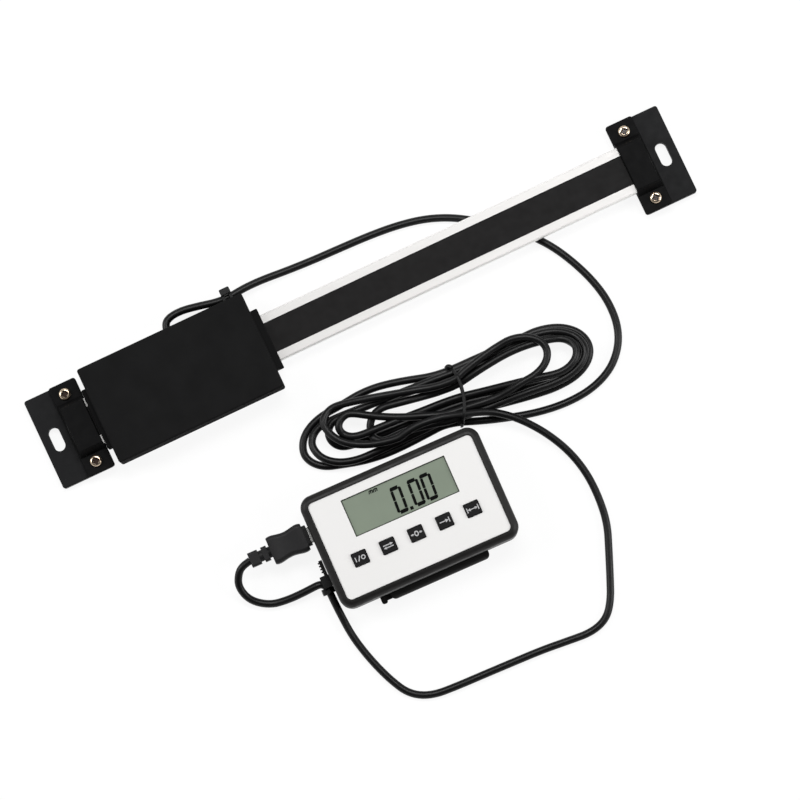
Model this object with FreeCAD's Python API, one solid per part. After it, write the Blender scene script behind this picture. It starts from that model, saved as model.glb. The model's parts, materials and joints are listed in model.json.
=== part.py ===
import FreeCAD, Part
import math
import os

# Digital linear scale with a remote display on a cable.
# Millimetres, +Z up. X runs along the beam, Y across it. The origin is midway between the two
# mounting slots, on the plane that the end brackets stand on. The reading head is at its left stop.

Vector = FreeCAD.Vector
X_AXIS = Vector(1, 0, 0)
Y_AXIS = Vector(0, 1, 0)
Z_AXIS = Vector(0, 0, 1)
ORIGIN = Vector(0, 0, 0)

# Beam
BEAM_WIDTH = 19.05
BEAM_THICK = 5.0
BEAM_LENGTH = 244.8
BEAM_BOTTOM = 3.6
BEAM_TOP = BEAM_BOTTOM + BEAM_THICK
BEAM_EDGE = 0.4
BEAM_HALF = BEAM_WIDTH / 2
STRIP_WIDTH = 12.2
STRIP_THICK = 0.6
FILM_THICK = 0.2

# End brackets, given for the right-hand one
BRACKET_OUTER = 134.9
BASE_INNER = 113.7
BASE_HALF = 18.55
BRACKET_CORNER = 1.0
SLOT_X = 129.3
SLOT_WIDTH = 4.5
SLOT_LENGTH = 9.6
STRAP_INNER = 113.0
STRAP_OUTER = 124.2
STRAP_HALF = 18.8
LUG_THICK = 2.4
LUG_TOP = BEAM_BOTTOM + LUG_THICK
BRIDGE_TOP = BEAM_TOP + 2.0
BRIDGE_FOOT_HALF = 11.7
BRIDGE_TOP_HALF = 8.9
BRIDGE_SLOPE = 1.2
BRIDGE_DRAFT = 0.5
BEAM_PLAY = 0.05
MOULDED_ROUND = 0.4
BRACKET_SCREW_X = 119.0
BRACKET_SCREW_Y = 14.2
BRACKET_SCREW_DEPTH = 5.0
SCREW_HEAD_R = 2.3
SCREW_HEAD_HEIGHT = 1.5
SCREW_SHANK_R = 1.25
SCREW_PILOT_R = 1.3
SCREW_CLEAR_R = 1.4
RECESS_LENGTH = 3.0
RECESS_WIDTH = 0.9
RECESS_R = 1.25

# Reading head
HEAD_LEFT = -110.75
HEAD_RIGHT = -41.1
HEAD_X = (HEAD_LEFT + HEAD_RIGHT) / 2
HEAD_HALF = 19.7
HEAD_TOP = 16.3
HEAD_WALL = 1.8
HEAD_CORNER = 1.0
HEAD_EDGE = 0.9
PLATE_BOTTOM = 0.9
PLATE_TOP = 2.9
PLATE_INSET = 0.8
CARRIAGE_TOP = 10.2
CARRIAGE_GAP = 0.4
RUN_PLAY = 0.05
GUIDE_LEFT_END = -112.7
GUIDE_RIGHT_END = -38.3
GUIDE_HALF = 12.35
GUIDE_TOP = 10.1
GUIDE_FLANGE = 1.0
GUIDE_FLANGE_HALF = 14.5
WINDOW_GAP = 0.2
HEAD_SCREW_X = 27.5
HEAD_SCREW_Y = 13.8
HEAD_SCREW_R = 1.2
HEAD_SCREW_CLEAR_R = 1.45
COUNTERSINK_R = 2.3
COUNTERSINK_DEPTH = 0.85
BOSS_R = 2.5
MOUNT_X = 18.0
MOUNT_Y = 14.0
MOUNT_HOLE_R = 1.65
BOARD_THICK = 1.0
SENSOR_HALF = 23.0
GIB_BOTTOM = 4.8
GIB_HEIGHT = 2.6

# Cable
CABLE_R = 1.5
EXIT_X = -73.3
EXIT_Z = 5.6
GROMMET_R = 2.28
GROMMET_COLLAR_R = 2.7
GROMMET_COLLAR = 0.5
LEAD_TIE_X = -46.6
TIE_STRAP = 1.1

# Display, in its own frame: x along its long side, y towards the screen's side
DISPLAY_X = -19.5
DISPLAY_Y = -85.8
DISPLAY_TURN = -1.5
CASE_HALF_X = 37.0
CASE_HALF_Y = 23.0
CASE_CORNER = 5.0
CASE_WALL = 2.0
CASE_SPLIT = 10.0
CASE_TOP = 19.1
RIM_ROUND = 2.6
BACK_ROUND = 2.0
FLOOR_TOP = 4.8
PANEL_BOTTOM = 16.4
PANEL_TOP = 17.9
FACE_HALF_X = 33.9
FACE_HALF_Y = 19.9
FACE_CORNER = 2.0
FACE_THICK = 0.8
SCREEN_X = 43.0
SCREEN_Y = 15.1
SCREEN_CENTRE_Y = 8.8
GLASS_BORDER = 1.1
GLASS_BOTTOM = 15.3
PCB_BOTTOM = 10.6
PCB_TOP = 11.8
POST_X = 30.5
POST_Y = 16.8
POST_R = 2.8
POST_PILOT_R = 1.15
POST_SCREW_R = 1.1
POST_SCREW_HEAD_R = 2.1
POST_SCREW_SEAT = 2.4
KEY_PITCH = 11.66
KEY_Y = -6.75
KEY_WIDTH = 5.85
KEY_HEIGHT = 5.3
KEY_TOP = 19.5
KEY_BOTTOM = 13.3
KEY_TRAVEL = 0.6
KEY_COUNT = 5
KEY_GAP = 0.15
KEY_CORNER = 0.35
KEY_EDGE = 0.25
KEY_FLANGE = 0.8
CELL_Y = -4.5
CELL_R = 10.0
CELL_THICK = 3.2
CELL_BOTTOM = 2.7
COVER_R = 12.3
COVER_BOTTOM = 0.5
COVER_TOP = 2.3
LUG_RING_R = 13.7
LUG_RING_THICK = 0.8
COVER_GAP = 0.2
PLUG_Y = 9.8
PLUG_Z = 8.55
PLUG_FRONT = -39.4
PLUG_REAR = -53.7
RELIEF_END = -62.4
SHELL_WIDTH = 6.8
SHELL_HEIGHT = 3.0
HINGE_Y = 10.0
HINGE_Z = 1.8
LEG_INNER = 16.8
LEG_OUTER = 22.6
LEG_BOTTOM = 0.4
LEG_TOP = 2.8
FOOT_BACK = -23.2
FOOT_FRONT = -25.9
FOOT_TOP = 4.8
FOOT_ROUND = 2.0
HINGE_PIN_R = 1.0
HINGE_EYE_R = 1.6
WEB_FRONT = CELL_Y - LUG_RING_R - 1.6
LEG_GAP = 0.3

# Hank, in its own frame: x along it, origin at its tie
HANK_X = 18.0
HANK_Y = -50.5
HANK_TURN = -6.0
HANK_BOTTOM = 0.55
HANK_TOP = 9.75
HANK_ROUND = 2.2

# Route of the cable from the head to the hank, and from the hank to the plug
ROUTE_IN = [
    (-73.3, 18.5, 5.6), (-73.3, 22.0, 5.6), (-70.7, 24.5, 5.5), (-65.0, 24.6, 5.3),
    (-58.0, 23.2, 5.1), (-51.2, 21.6, 4.9), (-45.6, 21.5, 4.6), (-39.0, 22.5, 3.9),
    (-31.0, 22.8, 2.8), (-22.0, 22.2, 1.9), (-11.0, 21.7, 1.6), (1.0, 21.1, 1.6),
    (13.0, 20.7, 1.6), (24.5, 19.6, 1.6), (35.0, 17.4, 1.6), (44.5, 13.4, 1.6),
    (53.0, 7.8, 1.6), (61.0, 1.2, 1.6), (68.5, -5.8, 1.6), (74.8, -14.0, 1.6),
    (79.6, -23.0, 1.6), (83.6, -32.5, 1.6), (86.0, -42.0, 1.6), (85.9, -51.8, 1.6),
    (82.6, -60.4, 1.6), (75.2, -66.9, 1.6), (65.2, -70.3, 1.6), (54.0, -70.9, 1.6),
    (43.0, -69.2, 1.7), (32.5, -66.1, 1.9), (22.6, -62.4, 2.05),
]
ROUTE_OUT = [
    (24.5, -59.9, 6.9), (31.5, -65.0, 6.8), (37.4, -71.4, 5.8), (42.6, -79.6, 3.4),
    (47.3, -89.0, 1.8), (50.3, -99.0, 1.6), (51.2, -109.5, 1.6), (49.6, -120.0, 1.6),
    (46.1, -130.0, 1.6), (42.2, -139.4, 1.6), (38.6, -147.8, 1.6), (33.2, -154.0, 1.6),
    (25.0, -155.9, 1.6), (15.5, -154.7, 1.6), (4.5, -153.5, 1.6), (-7.0, -152.9, 1.6),
    (-19.0, -152.4, 1.6), (-30.5, -152.6, 1.6), (-41.0, -151.5, 1.6), (-48.6, -146.6, 1.6),
    (-52.9, -138.4, 1.6), (-56.4, -128.0, 1.6), (-58.9, -117.0, 1.6), (-59.6, -106.6, 1.9),
    (-59.5, -99.6, 2.6), (-59.5, -95.0, 3.4), (-62.4, -92.9, 3.8), (-67.6, -93.2, 3.5),
    (-74.6, -93.6, 2.5), (-82.0, -92.5, 2.2), (-88.0, -87.8, 3.2), (-90.1, -81.4, 5.2),
    (-88.4, -76.7, 7.4), (-85.2, -74.28, 8.5), (-81.62, -74.37, 8.55),
]
BEAM_SPAN_FROM = 9
BEAM_SPAN_TO = 20
PLUG_LEAD_FROM = 23
ARC_SHARE = 0.45


def box(x0, x1, y0, y1, z0, z1):
    return Part.makeBox(x1 - x0, y1 - y0, z1 - z0, Vector(x0, y0, z0))


def upright_edges(shape):
    return [e for e in shape.Edges if e.BoundBox.XLength + e.BoundBox.YLength < 1e-6]


def edges_at(shape, z):
    return [e for e in shape.Edges if abs(e.BoundBox.ZMin - z) + abs(e.BoundBox.ZMax - z) < 1e-6]


def slab(x0, x1, y0, y1, z0, z1, corner):
    shape = box(x0, x1, y0, y1, z0, z1)
    return shape.makeFillet(corner, upright_edges(shape))


def block(x, y, size_x, size_y, z0, z1):
    return box(x - size_x / 2, x + size_x / 2, y - size_y / 2, y + size_y / 2, z0, z1)


def rod(x, y, z0, z1, radius):
    return Part.makeCylinder(radius, z1 - z0, Vector(x, y, z0))


def rod_x(x0, x1, y, z, radius):
    return Part.makeCylinder(radius, x1 - x0, Vector(x0, y, z), X_AXIS)


def rod_y(x, y0, y1, z, radius):
    return Part.makeCylinder(radius, y1 - y0, Vector(x, y0, z), Y_AXIS)


def four(x, y):
    return [(sx * x, sy * y) for sx in (1, -1) for sy in (1, -1)]


def join(shapes):
    return shapes[0].fuse(shapes[1:]).removeSplitter()


def less(shape, tools):
    return shape.cut(tools)


def group(shapes):
    return Part.makeCompound(shapes)


def mirrored(shape):
    return shape.mirror(ORIGIN, X_AXIS)


def rounded_rect(width, height, corner):
    arcs = []
    for sx, sy, start in ((1, 1, 0), (-1, 1, 90), (-1, -1, 180), (1, -1, 270)):
        centre = Vector(sx * (width / 2 - corner), sy * (height / 2 - corner), 0)
        arcs.append(Part.makeCircle(corner, centre, Z_AXIS, start, start + 90))
    edges = []
    for arc, following in zip(arcs, arcs[1:] + arcs[:1]):
        end = arc.valueAt(arc.LastParameter)
        start = following.valueAt(following.FirstParameter)
        edges += [arc, Part.makeLine(end, start)]
    return Part.Wire(edges)


def section_x(x, y, z, width, height, corner):
    wire = rounded_rect(width, height, corner)
    wire.rotate(ORIGIN, Vector(1, 1, 1), 120)
    wire.translate(Vector(x, y, z))
    return wire


def prism_x(x0, x1, y, z, width, height, corner):
    return Part.Face(section_x(x0, y, z, width, height, corner)).extrude(Vector(x1 - x0, 0, 0))


# Scale: beam, strip and end brackets

def beam():
    half = BEAM_LENGTH / 2
    bar = box(-half, half, -BEAM_HALF, BEAM_HALF, BEAM_BOTTOM, BEAM_TOP)
    long_edges = [e for e in bar.Edges if e.BoundBox.XLength > half]
    bar = bar.makeChamfer(BEAM_EDGE, long_edges)
    depth = STRIP_THICK + FILM_THICK
    groove = box(-half - 1, half + 1, -STRIP_WIDTH / 2, STRIP_WIDTH / 2, BEAM_TOP - depth, BEAM_TOP + 1)
    return less(bar, [groove])


def strip(z0, z1):
    half = BEAM_LENGTH / 2
    return box(-half, half, -STRIP_WIDTH / 2, STRIP_WIDTH / 2, z0, z1)


def slot_cutter():
    straight = (SLOT_LENGTH - SLOT_WIDTH) / 2
    middle = block(SLOT_X, 0, SLOT_WIDTH, 2 * straight, -1, BEAM_BOTTOM + 1)
    ends = [rod(SLOT_X, y, -1, BEAM_BOTTOM + 1, SLOT_WIDTH / 2) for y in (-straight, straight)]
    return join([middle] + ends)


def bracket_rods(z0, z1, radius):
    return [rod(BRACKET_SCREW_X, y, z0, z1, radius) for y in (-BRACKET_SCREW_Y, BRACKET_SCREW_Y)]


def bracket_base():
    plate = slab(BASE_INNER, BRACKET_OUTER, -BASE_HALF, BASE_HALF, 0, BEAM_BOTTOM, BRACKET_CORNER)
    plate = plate.makeFillet(MOULDED_ROUND, edges_at(plate, BEAM_BOTTOM))
    pilot_bottom = LUG_TOP - BRACKET_SCREW_DEPTH - 0.2
    pilots = bracket_rods(pilot_bottom, BEAM_BOTTOM + 1, SCREW_PILOT_R)
    return less(plate, [slot_cutter()] + pilots)


def bridge_section(inner, outer, half, z):
    corners = ((inner, -half), (outer, -half), (outer, half), (inner, half), (inner, -half))
    return Part.makePolygon([Vector(x, y, z) for x, y in corners])


def clamp_strap():
    lugs = slab(STRAP_INNER, STRAP_OUTER, -STRAP_HALF, STRAP_HALF, BEAM_BOTTOM, LUG_TOP, BRACKET_CORNER)
    lugs = lugs.makeFillet(MOULDED_ROUND, edges_at(lugs, LUG_TOP))
    foot = bridge_section(STRAP_INNER, STRAP_OUTER, BRIDGE_FOOT_HALF, LUG_TOP - 1)
    crown_inner = STRAP_INNER + BRIDGE_DRAFT
    crown = bridge_section(crown_inner, STRAP_OUTER - BRIDGE_SLOPE, BRIDGE_TOP_HALF, BRIDGE_TOP)
    bridge = Part.makeLoft([foot, crown], True, True)
    bridge = bridge.makeFillet(MOULDED_ROUND, edges_at(bridge, BRIDGE_TOP))
    channel_half = BEAM_HALF + BEAM_PLAY
    channel_end = BEAM_LENGTH / 2 + BEAM_PLAY
    channel = box(STRAP_INNER - 1, channel_end, -channel_half, channel_half, 0, BEAM_TOP)
    return less(join([lugs, bridge]), [channel] + bracket_rods(0, LUG_TOP + 1, SCREW_CLEAR_R))


def cross_recess(x, y, z0, z1):
    along = block(x, y, RECESS_LENGTH, RECESS_WIDTH, z0, z1)
    across = block(x, y, RECESS_WIDTH, RECESS_LENGTH, z0, z1)
    return [along, across]


def pan_screw(x, y, seat, depth):
    top = seat + SCREW_HEAD_HEIGHT
    head = rod(x, y, seat, top, SCREW_HEAD_R)
    head = head.makeFillet(0.6 * SCREW_HEAD_HEIGHT, edges_at(head, top))
    shank = rod(x, y, seat - depth, seat, SCREW_SHANK_R)
    recess_depth = 0.75 * SCREW_HEAD_HEIGHT
    funnel = Part.makeCone(RECESS_R / 3, RECESS_R, recess_depth, Vector(x, y, top - recess_depth))
    recess = cross_recess(x, y, top - recess_depth, top + 1) + [funnel]
    return less(head.fuse(shank), recess)


def bracket_screws():
    places = (-BRACKET_SCREW_Y, BRACKET_SCREW_Y)
    return group([pan_screw(BRACKET_SCREW_X, y, LUG_TOP, BRACKET_SCREW_DEPTH) for y in places])


# Reading head

def head_points(x, y):
    return [(HEAD_X + px, py) for px, py in four(x, y)]


def head_screw_rods(z0, z1, radius):
    return [rod(x, y, z0, z1, radius) for x, y in head_points(HEAD_SCREW_X, HEAD_SCREW_Y)]


def head_cover():
    shell = slab(HEAD_LEFT, HEAD_RIGHT, -HEAD_HALF, HEAD_HALF, PLATE_TOP, HEAD_TOP, HEAD_CORNER)
    shell = shell.makeFillet(HEAD_EDGE, edges_at(shell, HEAD_TOP))
    ceiling = HEAD_TOP - HEAD_WALL
    inner_half = HEAD_HALF - HEAD_WALL
    inner_length = HEAD_RIGHT - HEAD_LEFT - 2 * HEAD_WALL
    inside = block(HEAD_X, 0, inner_length, 2 * inner_half, PLATE_TOP - 1, ceiling)
    window_half = GUIDE_HALF + WINDOW_GAP
    window_top = GUIDE_TOP + WINDOW_GAP
    window = box(HEAD_LEFT - 1, HEAD_RIGHT + 1, -window_half, window_half, PLATE_TOP - 1, window_top)
    exit_hole = rod_y(EXIT_X, inner_half - 1, HEAD_HALF + 1, EXIT_Z, GROMMET_R + 0.02)
    shell = less(shell, [inside, window, exit_hole])
    bosses = head_screw_rods(CARRIAGE_TOP, ceiling + HEAD_WALL / 2, BOSS_R)
    pilots = head_screw_rods(CARRIAGE_TOP - 1, ceiling - 0.6, HEAD_SCREW_R + 0.05)
    return less(join([shell] + bosses), pilots)


def back_plate():
    half = HEAD_HALF - PLATE_INSET
    left = HEAD_LEFT + PLATE_INSET
    right = HEAD_RIGHT - PLATE_INSET
    plate = slab(left, right, -half, half, PLATE_BOTTOM, PLATE_TOP, 1.5 * HEAD_CORNER)
    holes = [rod(x, y, 0, PLATE_TOP + 1, MOUNT_HOLE_R) for x, y in head_points(MOUNT_X, MOUNT_Y)]
    holes += head_screw_rods(0, PLATE_TOP + 1, HEAD_SCREW_CLEAR_R)
    for x, y in head_points(HEAD_SCREW_X, HEAD_SCREW_Y):
        base = Vector(x, y, PLATE_BOTTOM)
        holes.append(Part.makeCone(COUNTERSINK_R, HEAD_SCREW_CLEAR_R, COUNTERSINK_DEPTH, base))
    return less(plate, holes)


def carriage_span():
    gap = HEAD_WALL + GUIDE_FLANGE + WINDOW_GAP
    return HEAD_LEFT + gap, HEAD_RIGHT - gap


def carriage():
    left, right = carriage_span()
    half = HEAD_HALF - HEAD_WALL - CARRIAGE_GAP
    body = slab(left, right, -half, half, PLATE_TOP, CARRIAGE_TOP, HEAD_CORNER)
    run_half = BEAM_HALF + RUN_PLAY
    channel = box(left - 1, right + 1, -run_half, run_half, PLATE_TOP - 1, BEAM_TOP + RUN_PLAY)
    sensor_width = 14.0
    sensor_window = block(HEAD_X, 0, 2 * SENSOR_HALF, sensor_width, BEAM_TOP, CARRIAGE_TOP + 1)
    gib_depth = 1.7
    gib_room = 0.4
    gib_pocket = box(HEAD_X - SENSOR_HALF, HEAD_X + SENSOR_HALF, -run_half - gib_depth, 0,
                     GIB_BOTTOM - gib_room, GIB_BOTTOM + GIB_HEIGHT + gib_room)
    notch_half = CABLE_R + 0.7
    notch_start = 11.5
    notch_bottom = EXIT_Z - CABLE_R - 0.5
    cable_notch = box(EXIT_X - notch_half, EXIT_X + notch_half, notch_start, half + 1,
                      notch_bottom, CARRIAGE_TOP + 1)
    cuts = [channel, sensor_window, gib_pocket, cable_notch]
    cuts += head_screw_rods(PLATE_TOP - 1, CARRIAGE_TOP + 1, HEAD_SCREW_CLEAR_R)
    screw_room = 4.0
    for x, y in head_points(MOUNT_X, MOUNT_Y):
        cuts.append(rod(x, y, PLATE_TOP - 1, PLATE_TOP + screw_room, MOUNT_HOLE_R + 0.5))
    return less(body, cuts)


def slide_pads():
    left, right = carriage_span()
    length = right - left - 8
    width = 3.2
    top = BEAM_BOTTOM - RUN_PLAY
    return group([block(HEAD_X, y, length, width, PLATE_TOP, top) for y in (-7, 7)])


def end_guide(outer, wall, inward):
    flange_start = wall + inward * HEAD_WALL
    flange_end = flange_start + inward * GUIDE_FLANGE
    low, high = sorted((outer, flange_end))
    neck = slab(low, high, -GUIDE_HALF, GUIDE_HALF, PLATE_TOP, GUIDE_TOP, MOULDED_ROUND)
    neck = neck.makeFillet(MOULDED_ROUND, edges_at(neck, GUIDE_TOP))
    low, high = sorted((flange_start, flange_end))
    flange = box(low, high, -GUIDE_FLANGE_HALF, GUIDE_FLANGE_HALF, PLATE_TOP, GUIDE_TOP)
    run_half = BEAM_HALF + 2 * RUN_PLAY
    low, high = sorted((outer - inward, flange_end + inward))
    channel = box(low, high, -run_half, run_half, PLATE_TOP - 1, BEAM_TOP + 2 * RUN_PLAY)
    return less(join([neck, flange]), [channel])


def bowed(y_ends, y_middle):
    half = SENSOR_HALF - 1
    points = ((HEAD_X - half, y_ends), (HEAD_X, y_middle), (HEAD_X + half, y_ends))
    return Part.Arc(*[Vector(x, y, GIB_BOTTOM) for x, y in points])


def gib_spring():
    near = -BEAM_HALF - 0.04
    far = near - 1.4
    thick = 0.3
    front = bowed(far, near)
    back = bowed(far - thick, near - thick)
    left = Part.makeLine(back.StartPoint, front.StartPoint)
    right = Part.makeLine(front.EndPoint, back.EndPoint)
    wire = Part.Wire([front.toShape(), right, back.toShape(), left])
    return Part.Face(wire).extrude(Vector(0, 0, GIB_HEIGHT))


def head_pcb():
    return block(HEAD_X, 0, 51, 22, CARRIAGE_TOP, CARRIAGE_TOP + BOARD_THICK)


def head_pcb_parts():
    top = CARRIAGE_TOP + BOARD_THICK
    air_gap = 0.35
    sensor = block(HEAD_X, 0, 36, 10, BEAM_TOP + air_gap, CARRIAGE_TOP)
    chip = block(HEAD_X + 8, -2, 9, 9, top, top + 1.2)
    crystal = block(HEAD_X - 8, -5, 8, 3.2, top, top + 2.4)
    connector = block(EXIT_X, 8.2, 9, 4, top, top + 2.6)
    return group([sensor, chip, crystal, connector])


def head_screws():
    screws = []
    play = 0.02
    bottom = PLATE_BOTTOM + play
    end = HEAD_TOP - HEAD_WALL - 1.2
    for x, y in head_points(HEAD_SCREW_X, HEAD_SCREW_Y):
        base = Vector(x, y, bottom)
        head = Part.makeCone(COUNTERSINK_R - 2 * play, HEAD_SCREW_R, COUNTERSINK_DEPTH - play, base)
        shank = rod(x, y, bottom, end, HEAD_SCREW_R)
        recess = cross_recess(x, y, 0, PLATE_BOTTOM + COUNTERSINK_DEPTH / 2)
        screws.append(less(head.fuse(shank), recess))
    return group(screws)


def cable_grommet():
    inner_face = HEAD_HALF - HEAD_WALL
    outer_face = HEAD_HALF + GROMMET_COLLAR
    sleeve = rod_y(EXIT_X, inner_face, HEAD_HALF, EXIT_Z, GROMMET_R)
    collar = rod_y(EXIT_X, HEAD_HALF, outer_face, EXIT_Z, GROMMET_COLLAR_R)
    rim = [e for e in collar.Edges if e.BoundBox.YMin > outer_face - 1e-3]
    collar = collar.makeFillet(0.3, rim)
    bore = rod_y(EXIT_X, inner_face - 1, outer_face + 1, EXIT_Z, CABLE_R)
    return less(join([sleeve, collar]), [bore])


def lead_tie():
    """Two straps from the head's wall round the cable, with their lock on top of the cable's outer side."""
    lock_half = 2.05
    lock_start = 22.6
    lock_depth = 2.4
    lock_height = 2.6
    under = 2.0
    over = 6.35
    reach = 24.1
    upright = 0.75
    lock = slab(LEAD_TIE_X - lock_half, LEAD_TIE_X + lock_half, lock_start, lock_start + lock_depth,
                over, over + lock_height, 0.5)
    pieces = [lock]
    for side in (-1, 1):
        middle = LEAD_TIE_X + side * (lock_half - TIE_STRAP / 2)
        left = middle - TIE_STRAP / 2
        right = middle + TIE_STRAP / 2
        pieces.append(box(left, right, HEAD_HALF, reach, under, under + 0.9))
        pieces.append(box(left, right, HEAD_HALF, reach, over, over + TIE_STRAP))
        pieces.append(box(left, right, reach - upright, reach, under, over + TIE_STRAP))
    return join(pieces)


# Remote display, built in its own frame

def key_x(index):
    return (index - (KEY_COUNT - 1) / 2) * KEY_PITCH


def post_holes(z0, z1, radius):
    return [rod(x, y, z0, z1, radius) for x, y in four(POST_X, POST_Y)]


def case_inside(z0, z1):
    x = CASE_HALF_X - CASE_WALL
    y = CASE_HALF_Y - CASE_WALL
    return slab(-x, x, -y, y, z0, z1, CASE_CORNER - CASE_WALL)


def socket_opening():
    outside = -CASE_HALF_X - 1
    inside = -CASE_HALF_X + CASE_WALL + 0.5
    half_y = 4.2
    half_z = 2.3
    return box(outside, inside, PLUG_Y - half_y, PLUG_Y + half_y, PLUG_Z - half_z, PLUG_Z + half_z)


def key_openings(room, z0, z1):
    width = KEY_WIDTH + 2 * room
    height = KEY_HEIGHT + 2 * room
    return [block(key_x(i), KEY_Y, width, height, z0, z1) for i in range(KEY_COUNT)]


def front_housing():
    shell = slab(-CASE_HALF_X, CASE_HALF_X, -CASE_HALF_Y, CASE_HALF_Y, CASE_SPLIT, CASE_TOP, CASE_CORNER)
    shell = shell.makeFillet(RIM_ROUND, edges_at(shell, CASE_TOP))
    gap = 0.1
    half_x = FACE_HALF_X + gap
    half_y = FACE_HALF_Y + gap
    recess = slab(-half_x, half_x, -half_y, half_y, PANEL_TOP, CASE_TOP + 1, FACE_CORNER + gap)
    border = 2 * (GLASS_BORDER + gap)
    screen = block(0, SCREEN_CENTRE_Y, SCREEN_X + border, SCREEN_Y + border, PANEL_BOTTOM - 1, PANEL_TOP + 1)
    keys = key_openings(KEY_GAP + 0.05, PANEL_BOTTOM - 1, PANEL_TOP + 1)
    shell = less(shell, [case_inside(CASE_SPLIT - 1, PANEL_BOTTOM), recess, screen, socket_opening()] + keys)
    bosses = post_holes(PCB_TOP, PANEL_BOTTOM + 0.5, POST_R)
    return less(join([shell] + bosses), post_holes(PCB_TOP - 1, PANEL_BOTTOM - 1, POST_PILOT_R))


def leg_channels():
    eye_room = HINGE_EYE_R + 0.5
    end = HINGE_Y + eye_room
    front = -CASE_HALF_Y - 1
    top = LEG_TOP + LEG_GAP
    channels = [box(-LEG_INNER, LEG_INNER, front, WEB_FRONT + LEG_GAP, -1, top)]
    for side in (-1, 1):
        low, high = sorted((side * (LEG_INNER - LEG_GAP), side * (LEG_OUTER + LEG_GAP)))
        channels.append(box(low, high, front, end, -1, top))
        channels.append(box(low, high, HINGE_Y - eye_room, end, -1, HINGE_Z + eye_room))
    return channels


def cover_notches():
    """Ways in for the cover's two lugs, a sixth of a turn round from where they lock."""
    half_width = 3.3
    notch = box(COVER_R - 1, LUG_RING_R + COVER_GAP, -half_width, half_width, -1, COVER_TOP)
    notches = []
    for angle in (120, 300):
        way = notch.copy()
        way.rotate(ORIGIN, Z_AXIS, angle)
        way.translate(Vector(0, CELL_Y, 0))
        notches.append(way)
    return notches


def rear_housing():
    shell = slab(-CASE_HALF_X, CASE_HALF_X, -CASE_HALF_Y, CASE_HALF_Y, 0, CASE_SPLIT, CASE_CORNER)
    shell = shell.makeFillet(BACK_ROUND, edges_at(shell, 0))
    shell = shell.makeChamfer(0.35, edges_at(shell, CASE_SPLIT))
    shell = less(shell, [case_inside(FLOOR_TOP, CASE_SPLIT + 1), socket_opening()])
    posts = post_holes(FLOOR_TOP - 0.5, PCB_BOTTOM, POST_R)
    wall = 1.3
    play = 0.3
    cell_wall = rod(0, CELL_Y, FLOOR_TOP - 0.5, CELL_BOTTOM + CELL_THICK, CELL_R + play + wall)
    shell = join([shell, cell_wall] + posts)
    cuts = leg_channels() + cover_notches()
    seat = COVER_TOP + COVER_GAP / 2
    cuts.append(rod(0, CELL_Y, CELL_BOTTOM - play, CASE_SPLIT, CELL_R + play))
    cuts.append(rod(0, CELL_Y, -1, seat, COVER_R + COVER_GAP))
    cuts.append(rod(0, CELL_Y, COVER_TOP - LUG_RING_THICK - COVER_GAP, seat, LUG_RING_R + COVER_GAP))
    cuts += post_holes(-1, PCB_BOTTOM + 1, POST_SCREW_R + 0.2)
    cuts += post_holes(-1, POST_SCREW_SEAT, POST_SCREW_HEAD_R + 0.3)
    cuts += hinge_rods(1.6, HINGE_PIN_R + 0.02)
    return less(shell, cuts)


def faceplate():
    top = PANEL_TOP + FACE_THICK
    plate = slab(-FACE_HALF_X, FACE_HALF_X, -FACE_HALF_Y, FACE_HALF_Y, PANEL_TOP, top, FACE_CORNER)
    screen = block(0, SCREEN_CENTRE_Y, SCREEN_X, SCREEN_Y, PANEL_TOP - 1, top + 1)
    keys = []
    for opening in key_openings(KEY_GAP, PANEL_TOP - 1, top + 1):
        keys.append(opening.makeFillet(KEY_CORNER + KEY_GAP, upright_edges(opening)))
    return less(plate, [screen] + keys)


def lcd_panel():
    glass_x = SCREEN_X + 2 * GLASS_BORDER
    glass_y = SCREEN_Y + 2 * GLASS_BORDER
    return block(0, SCREEN_CENTRE_Y, glass_x, glass_y, GLASS_BOTTOM, PANEL_TOP - 0.05)


def zebra_strips():
    reach = SCREEN_Y / 2 + 0.2
    width = 1.6
    places = (SCREEN_CENTRE_Y - reach, SCREEN_CENTRE_Y + reach)
    return group([block(0, y, SCREEN_X, width, PCB_TOP, GLASS_BOTTOM) for y in places])


def display_pcb():
    inset = CASE_WALL + 0.8
    x = CASE_HALF_X - inset
    y = CASE_HALF_Y - inset
    board = slab(-x, x, -y, y, PCB_BOTTOM, PCB_TOP, CASE_CORNER - inset)
    return less(board, post_holes(PCB_BOTTOM - 1, PCB_TOP + 1, POST_SCREW_R + 0.3))


def dome_switches():
    rim_r = 2.6
    crown_r = 1.4
    height = KEY_BOTTOM - KEY_TRAVEL - 0.05 - PCB_TOP
    places = [Vector(key_x(i), KEY_Y, PCB_TOP) for i in range(KEY_COUNT)]
    return group([Part.makeCone(rim_r, crown_r, height, place) for place in places])


def key(index):
    half_x = KEY_WIDTH / 2
    half_y = KEY_HEIGHT / 2
    skirt = PANEL_BOTTOM - 1.2
    flange_top = PANEL_BOTTOM - 0.2
    cap = slab(-half_x, half_x, -half_y, half_y, skirt, KEY_TOP, KEY_CORNER)
    cap = cap.makeChamfer(KEY_EDGE, edges_at(cap, KEY_TOP))
    flange = block(0, 0, KEY_WIDTH + 2 * KEY_FLANGE, KEY_HEIGHT + 2 * KEY_FLANGE, skirt, flange_top)
    stem_r = 1.5
    stem = rod(0, 0, KEY_BOTTOM, flange_top, stem_r)
    shape = join([cap, flange, stem])
    shape.translate(Vector(key_x(index), KEY_Y, 0))
    return shape


def coin_cell():
    top = CELL_BOTTOM + CELL_THICK
    cell = rod(0, CELL_Y, CELL_BOTTOM, top, CELL_R)
    return cell.makeFillet(0.4, edges_at(cell, top) + edges_at(cell, CELL_BOTTOM))


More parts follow.
